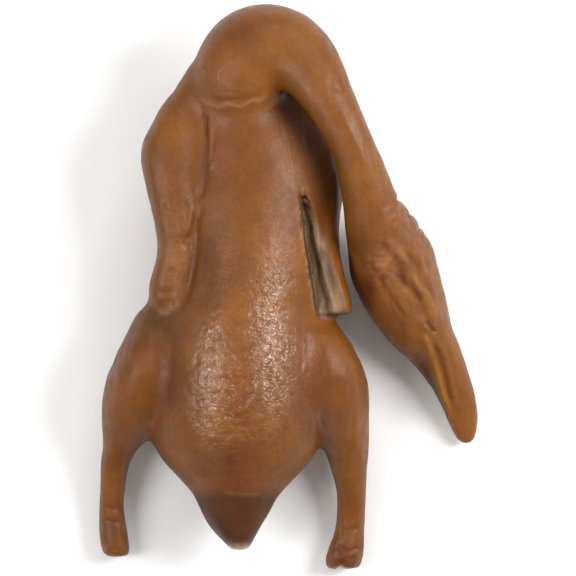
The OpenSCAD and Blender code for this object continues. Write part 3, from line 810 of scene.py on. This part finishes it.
def paint_slit(tint, v, up):
    """Streaky grey-brown inner face of the right wing, its dark end and the slit's pale lip, with
    painted light on the face's deep side and painted shade along the slit's bottom and in the nick's
    pits.
    """
    x, y, _ = v.T
    s = inner_share(v)
    face = step_between(-0.1, 0.03, s) * step_between(1.08, 0.92, s) * up
    inner = face * step_between(64, 58, y) * step_between(-22.5, -18.5, y)
    wobble = 0.09 * noise(v, (30, 7, 30), 48)
    nick = blob(v, 11.5, 60, 4, 6) * up
    lip = band(x - slit_edge(v) + 1.2, 1.1) * up * step_between(64, 58, y)
    lip = lip * step_between(-22, -12, y) * (0.5 + noise(v, 2.4, 14))
    return paint(tint, [
        (inner, (168, 132, 99)),
        # painted light on the deep side of the inner face, which the slit keeps in shade
        (0.75 * inner * step_between(0.62, 0.15, s), (205, 174, 138)),
        (inner * (0.2 + 0.5 * noise(v, (4, 14, 6), 44)), (96, 66, 44)),
        (inner * (0.9 * ridges(v, (2.2, 22, 8), 47) - 0.45), (92, 64, 44)),
        (0.7 * inner * band(s - 0.6 + wobble, 0.07), (196, 168, 138)),
        # painted shade in the pits of the nick at the slit's top
        (nick * (1.6 * ridges(v, 3, 49) - 0.6), (84, 56, 38)),
        (nick * (0.9 - 1.2 * ridges(v, 3, 49)), (214, 172, 128)),
        # painted shade along the bottom of the slit
        (0.8 * inner * band(s - 0.02, 0.1), (86, 58, 40)),
        (0.5 * inner * band(s - 0.38, 0.07), (80, 54, 36)),
        (0.75 * face * band(y + 19.5, 2.2), (90, 62, 42)),
        (0.6 * lip, (200, 160, 118))])


def painted(v, normals, labels):
    """Colour of the skin at each point, darker where it is steep: browner flanks with painted shade
    over them.
    """
    up = step_between(30, 55, v[:, 2])
    tint = np.tile(colour(148, 94, 50), (len(v), 1))
    tint = paint_body(tint, v, labels, up)
    tint = paint_tail(tint, v)
    tint = paint_neck(tint, v, labels, up)
    tint = paint_head(tint, v, up)
    tint = paint_feet(tint, v)
    tint = paint_slit(tint, v, up)
    # painted shade on the steep flanks, partly their own browner colour, also holding back the pale
    # floor's bounce light
    steep = step_between(0.6, 0.1, normals[:, 2]) * (0.8 + 0.3 * noise(v, 12, 45))
    steep = np.clip(0.5 * steep * step_between(0, 14, v[:, 2]), 0, 1)
    return np.clip(tint * (1 - 0.55 * steep)[:, None], 0, 1)


def felt(v, labels):
    """How crinkled and how shiny the skin is at each point, in a colour's red and green."""
    up = step_between(35, 60, v[:, 2])
    crinkle = 0.12 + up * (blob(v, -50, -68, 13, 42) + 1.1 * blob(v, -12, -45, 17, 48)
                           + 0.5 * blob(v, -30, -95, 34, 20) + 0.45 * blob(v, -20, 12, 26, 28))
    crinkle += 0.5 * (labels == LEFT_WING) * blob(v, -72, 35, 16, 30)
    shine = 0.35 + 0.75 * up * (blob(v, -52, -68, 12, 42) + blob(v, -12, -45, 17, 48))
    shine += 0.4 * blob(v, -33, -179, 9, 4) + 0.35 * blob(v, 30, -80, 14, 18)
    return np.clip(np.stack([crinkle, shine, np.zeros(len(v))], 1), 0, 1)


def add(tree, kind, **settings):
    """Shader node with its properties and plain inputs set."""
    node = tree.nodes.new(kind)
    for name, value in settings.items():
        if hasattr(node, name):
            setattr(node, name, value)
        else:
            node.inputs[name.replace("_", " ")].default_value = value
    return node


def noise_at(tree, place, scale, detail, distortion=0.0, roughness=0.6):
    """Noise texture over a place's vector."""
    node = add(tree, "ShaderNodeTexNoise", Scale=scale, Detail=detail, Distortion=distortion,
               Roughness=roughness)
    tree.links.new(place, node.inputs["Vector"])
    return node.outputs["Fac"]


def ranged(tree, value, low, high, from_low=0.3, from_high=0.7):
    """Value moved from one range to another, and held inside it."""
    node = add(tree, "ShaderNodeMapRange", From_Min=from_low, From_Max=from_high, To_Min=low,
               To_Max=high)
    tree.links.new(value, node.inputs["Value"])
    return node.outputs["Result"]


def maths(tree, operation, a, b):
    """Math node over two sockets or numbers."""
    node = add(tree, "ShaderNodeMath", operation=operation)
    for socket, value in zip(node.inputs, (a, b)):
        if isinstance(value, (int, float)):
            socket.default_value = value
        else:
            tree.links.new(value, socket)
    return node.outputs["Value"]


def skin_material(name, roughness, bump):
    """Glossy roast skin: painted colour, broken up by fine noise, with crinkles as a bump."""
    material = bpy.data.materials.new(name)
    material.use_nodes = True
    tree = material.node_tree
    link = tree.links.new
    shader = tree.nodes["Principled BSDF"]
    rest = add(tree, "ShaderNodeAttribute", attribute_name="rest").outputs["Vector"]
    tint = add(tree, "ShaderNodeAttribute", attribute_name="tint").outputs["Color"]
    felt_at = add(tree, "ShaderNodeAttribute", attribute_name="feel").outputs["Color"]
    feel = add(tree, "ShaderNodeSeparateColor")
    link(felt_at, feel.inputs["Color"])

    mottle = maths(tree, "MULTIPLY", ranged(tree, noise_at(tree, rest, 55, 5), 0.82, 1.14),
                   ranged(tree, noise_at(tree, rest, 420, 3), 0.9, 1.09))
    vary = add(tree, "ShaderNodeVectorMath", operation="SCALE")
    link(tint, vary.inputs[0])
    link(mottle, vary.inputs["Scale"])
    link(vary.outputs["Vector"], shader.inputs["Base Color"])

    gloss = maths(tree, "MULTIPLY", feel.outputs["Green"], 0.4)
    rough = ranged(tree, noise_at(tree, rest, 130, 4), roughness - 0.06, roughness + 0.12)
    link(maths(tree, "SUBTRACT", rough, gloss), shader.inputs["Roughness"])
    coat = ranged(tree, feel.outputs["Green"], 0.0, 0.9, 0.4, 1.0)
    link(coat, shader.inputs["Coat Weight"])
    shader.inputs["Coat Roughness"].default_value = 0.17
    shader.inputs["Specular IOR Level"].default_value = 0.3

    crinkle = maths(tree, "MULTIPLY", noise_at(tree, rest, 250, 2.5, 1.4, 0.5),
                    feel.outputs["Red"])
    pores = maths(tree, "MULTIPLY", noise_at(tree, rest, 1300, 2), 0.10)
    ridge = add(tree, "ShaderNodeBump", Strength=bump, Distance=0.0017)
    link(maths(tree, "ADD", crinkle, pores), ridge.inputs["Height"])
    link(ridge.outputs["Normal"], shader.inputs["Normal"])
    link(ridge.outputs["Normal"], shader.inputs["Coat Normal"])
    return material


# ---------------------------------------------------------------- cutting into pieces

def true_place(v):
    """From where points are seen by the camera to where they are: higher ones lie further in."""
    out = np.array(v, float)
    out[..., :2] *= ((CAMERA_HEIGHT - out[..., 2]) / (CAMERA_HEIGHT - MEAN_HEIGHT))[..., None]
    return out


LEG_Y = -17                   # the legs' skins lie beyond this
LEFT_HIP_X = -86
RIGHT_CROTCH = np.array([20.5, -116.0])
RIGHT_HIP_ACROSS = np.array([0.991, -0.135])    # across the right leg's seam, which leans out
TAIL_Y = -141
LEFT_SHOULDER_Y, RIGHT_SHOULDER_Y = 128, 120    # the wings' skins lie before these
NECK_ROOT_Y = 117
BEND_X = -7                   # neck_lower's skin lies before this, neck_upper's after it
# The neck's run where the head's skin begins, and the line between the head and the lower bill
HEAD_FROM, HEAD_TO = np.array([56.5, 58.0, 68.0]), np.array([67.0, 27.0, 50.0])
BILL_FROM, BILL_TO = np.array([77.3, -22.8]), np.array([119.0, -112.0])

PIECES = ["back_skin", "breast_skin", "tail_skin", "left_leg_skin", "right_leg_skin",
          "left_wing_skin", "right_wing_skin", "neck_lower_skin", "neck_upper_skin", "head_skin",
          "lower_bill_skin"]
(BACK, BREAST, TAIL_P, LEFT_LEG_P, RIGHT_LEG_P, LEFT_WING_P, RIGHT_WING_P, LOWER_P, UPPER_P, HEAD_P,
 BILL_P) = range(len(PIECES))


def piece_at(points, labels):
    """The piece that each place on the skin goes to."""
    x, y, z = points.T
    piece = np.where(z < SEAM_Z, BREAST, BACK)
    trunk = np.isin(labels, (TORSO, TAIL, LEFT_LEG, RIGHT_LEG))
    past_hip = (points[:, :2] - RIGHT_CROTCH) @ RIGHT_HIP_ACROSS
    piece = np.where(trunk & (y < TAIL_Y) & (x > LEFT_HIP_X) & (past_hip < 0), TAIL_P, piece)
    left = ((labels == LEFT_LEG) | (y < LEG_Y)) & (x < LEFT_HIP_X)
    piece = np.where(trunk & left, LEFT_LEG_P, piece)
    right = ((labels == RIGHT_LEG) | (y < LEG_Y)) & (past_hip > 0)
    piece = np.where(trunk & right, RIGHT_LEG_P, piece)
    piece = np.where((labels == LEFT_WING) & (y < LEFT_SHOULDER_Y), LEFT_WING_P, piece)
    piece = np.where((labels == RIGHT_WING) & (y < RIGHT_SHOULDER_Y), RIGHT_WING_P, piece)
    neck = np.isin(labels, (NECK, HEAD))
    run = HEAD_TO - HEAD_FROM
    past = (points - HEAD_FROM) @ run / np.linalg.norm(run)
    piece = np.where(neck & (x < BEND_X) & (y > NECK_ROOT_Y), LOWER_P, piece)
    piece = np.where(neck & (x >= BEND_X), np.where(past < -3, UPPER_P, HEAD_P), piece)
    bill = BILL_TO - BILL_FROM
    side = bill[0] * (y - BILL_FROM[1]) - bill[1] * (x - BILL_FROM[0])
    return np.where((piece == HEAD_P) & (side < 0) & (y < BILL_FROM[1]), BILL_P, piece)


HIDDEN_DEPTH = 0.35           # how far below the skin a surface counts as hidden
HIP_REACH = 12                # how far past the legs' seam their hidden surfaces go
TORSO_REACH_Y = -26           # the torso's hidden surface is only needed before this
HIDDEN_KINDS = (TORSO, LEFT_LEG, RIGHT_LEG, LEFT_WING, RIGHT_WING, NECK)


def hidden_faces(tree, parts, kinds):
    """Surfaces of the forms that lie inside the skin, which show when a limb is lifted."""
    found = []
    for kind in kinds:
        verts, quads = skin_over(parts[kind], HIDDEN)
        verts = relaxed(verts, quads, 2)
        inside = np.zeros(len(verts), bool)
        for i, p in enumerate(verts.tolist()):
            place, normal, _, _ = tree.find_nearest(p)
            inside[i] = (Vector(p) - place).dot(normal) < -HIDDEN_DEPTH
        quads = quads[inside[quads].all(axis=1)]
        centres = verts[quads].mean(axis=1)
        piece = piece_at(centres, np.full(len(quads), kind))
        if kind == TORSO:
            piece = np.where(centres[:, 1] > TORSO_REACH_Y, BACK, -1)
        elif kind in (LEFT_LEG, RIGHT_LEG):
            piece = np.where(centres[:, 1] > LEG_Y - HIP_REACH, piece, -1)
        elif kind == NECK:
            piece = np.where(np.isin(piece, (LOWER_P, UPPER_P)), piece, -1)
        found.append((verts, quads, piece, kind))
    return found


def gathered(layers, piece):
    """The faces of one piece from the skin and the hidden layers, with their own points."""
    rows, columns, start = [], [], 0
    for fields, quads, owner in layers:
        mine = quads[owner == piece]
        used, index = np.unique(mine, return_inverse=True)
        rows.append(index.reshape(-1, 4) + start)
        columns.append([field[used] for field in fields])
        start += len(used)
    return np.vstack(rows), [np.vstack(column) for column in zip(*columns)]


def make_piece(name, quads, fields, material):
    """One piece of skin with the attributes that its material reads."""
    verts, normals, tint, feel = fields
    mesh = new_mesh(name, true_place(verts), quads)
    mesh.polygons.foreach_set("use_smooth", np.ones(len(quads), bool))
    rest = mesh.attributes.new("rest", "FLOAT_VECTOR", "POINT")
    rest.data.foreach_set("vector", (verts * MM).ravel())
    for key, values in (("tint", tint), ("feel", feel)):
        layer = mesh.attributes.new(key, "FLOAT_COLOR", "POINT")
        layer.data.foreach_set("color", np.hstack([values, np.ones((len(verts), 1))]).ravel())
    mesh.normals_split_custom_set_from_vertices(normals.tolist())
    mesh.materials.append(material)
    piece = bpy.data.objects.new(name, mesh)
    bpy.context.scene.collection.objects.link(piece)
    return piece


def place_of(x, y, z):
    """A place named as the camera sees it, in metres, where it really is."""
    return tuple(true_place(np.array([x, y, z], float)) * MM)


def hang(pieces):
    """Hangs the back, breast and tail skins on the torso and the lower bill on the head, bakes the
    other pieces where they stand, and hides the CAD nodes that the pieces stand for.
    """
    for name in ("back_skin", "breast_skin", "tail_skin"):
        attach(pieces[name], "torso")
    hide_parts("back_shell")
    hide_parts("breast_shell")
    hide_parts("tail_casting")
    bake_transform(pieces["left_leg_skin"], "torso", "left_leg",
             place_of(-88, -64, 48), place_of(-104, -64, 48))
    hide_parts("left_leg_casting")
    hip_from, hip_to = (RIGHT_CROTCH + reach * RIGHT_HIP_ACROSS for reach in (1.5, 13.0))
    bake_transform(pieces["right_leg_skin"], "torso", "right_leg",
             place_of(*hip_from, 40), place_of(*hip_to, 40))
    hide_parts("right_leg_casting")
    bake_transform(pieces["left_wing_skin"], "torso", "left_wing",
             place_of(-78, 126, 65), place_of(-78, 92, 65))
    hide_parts("left_wing_casting")
    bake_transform(pieces["right_wing_skin"], "torso", "right_wing",
             place_of(12, 118, 54), place_of(12, 88, 54))
    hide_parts("right_wing_casting")
    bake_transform(pieces["neck_lower_skin"], "torso", "neck_lower",
             place_of(-34, 120, 74), place_of(-34, 139, 74))
    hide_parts("neck_lower_casting")
    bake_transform(pieces["neck_upper_skin"], "neck_lower", "neck_upper",
             place_of(-4, 167, 80), place_of(20, 167, 80))
    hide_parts("neck_upper_casting")
    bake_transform(pieces["head_skin"], "neck_upper", "head", place_of(*HEAD_FROM), place_of(*HEAD_TO))
    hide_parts("head_casting")
    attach(pieces["lower_bill_skin"], "head")
    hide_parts("lower_bill")


def hardware_material(name, shade, metallic, roughness, scale):
    """Plain part material with a little noise in its colour and finish."""
    material = bpy.data.materials.new(name)
    material.use_nodes = True
    tree = material.node_tree
    shader = tree.nodes["Principled BSDF"]
    shader.inputs["Metallic"].default_value = metallic
    place = add(tree, "ShaderNodeTexCoord").outputs["Object"]
    grain = ranged(tree, noise_at(tree, place, scale, 4, 0.0, 0.5), 0.85, 1.1)
    vary = add(tree, "ShaderNodeVectorMath", operation="SCALE")
    vary.inputs[0].default_value = shade
    tree.links.new(grain, vary.inputs["Scale"])
    tree.links.new(vary.outputs["Vector"], shader.inputs["Base Color"])
    shader.inputs["Roughness"].default_value = roughness
    return material


def dress_hardware():
    """Steel, nylon, foam and plywood for the CAD nodes that stay."""
    looks = {
        "steel": hardware_material("zinc_steel", (0.55, 0.56, 0.58), 1.0, 0.38, 900),
        "nylon": hardware_material("white_nylon", (0.78, 0.75, 0.68), 0.0, 0.5, 500),
        "foam": hardware_material("core_foam", (0.82, 0.70, 0.36), 0.0, 0.95, 1500),
        "plywood": hardware_material("birch_plywood", (0.62, 0.45, 0.27), 0.0, 0.7, 240)}
    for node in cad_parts.values():
        for slot in node.material_slots:
            if slot.material and slot.material.name in looks:
                slot.material = looks[slot.material.name]


def skin_layers():
    """The outer skin and the hidden surfaces: what each point holds, its faces, their pieces."""
    parts, verts, quads, labels = sculpted()
    normals = normals_of(verts, quads)
    owners = piece_at(verts[quads].mean(axis=1), labels[quads[:, 0]])
    fields = (verts, normals, painted(verts, normals, labels), felt(verts, labels))
    layers = [(fields, quads, owners)]
    tree = BVHTree.FromPolygons(verts.tolist(), quads.tolist())
    for under, under_quads, owner, kind in hidden_faces(tree, parts, HIDDEN_KINDS):
        shade = np.tile(colour(120, 76, 46), (len(under), 1))
        feel = felt(under, np.full(len(under), kind))
        layers.append(((under, normals_of(under, under_quads), shade, feel), under_quads, owner))
    return layers


make_camera()
make_studio()
layers = skin_layers()
roast = skin_material("roast_skin", 0.56, 0.75)
pieces = {}
for number, name in enumerate(PIECES):
    piece_quads, fields = gathered(layers, number)
    pieces[name] = make_piece(name, piece_quads, fields, roast)
hang(pieces)
dress_hardware()
